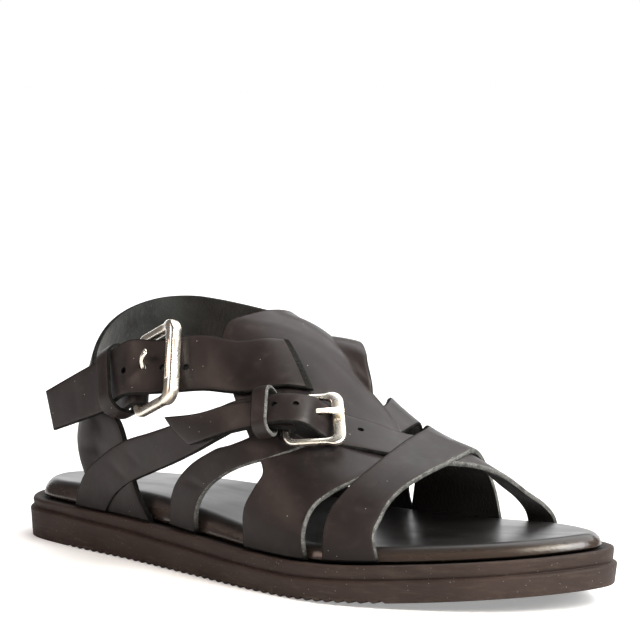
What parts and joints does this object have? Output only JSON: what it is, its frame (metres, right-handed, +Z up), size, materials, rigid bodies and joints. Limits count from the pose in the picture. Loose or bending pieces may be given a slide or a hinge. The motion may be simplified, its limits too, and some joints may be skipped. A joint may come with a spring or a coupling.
{
  "type": "buckle sandal",
  "caption": "Open strappy leather sandal for the right foot, with buckled instep and ankle straps on a padded insole and a stepped rubber sole.",
  "frame": {"origin": "middle of the heel's flat underside, on the floor, 30 mm ahead of the heel's back", "axes": "+X from heel to toe, +Y to the medial side, +Z up"},
  "size_m": [0.274, 0.1021, 0.099],
  "materials": {
    "sole_rubber": "matte moulded rubber",
    "insole_leather": "smooth, soft sheen",
    "upper_leather": "smooth leather, raw grey cut edges, suede inside",
    "strap_leather": "smooth leather, raw grey cut edges",
    "buckle_metal": "polished pale gold"
  },
  "bodies": {
    "root": {"outsole": "sole_rubber", "insole": "insole_leather", "upper": "upper_leather", "ankle_strap": "strap_leather", "ankle_keeper": "strap_leather", "instep_keeper": "strap_leather", "ankle_buckle_frame": "buckle_metal", "ankle_buckle_roller": "buckle_metal", "ankle_buckle_prong": "buckle_metal", "instep_buckle_frame": "buckle_metal", "instep_buckle_prong": "buckle_metal"}
  },
  "joints": []
}
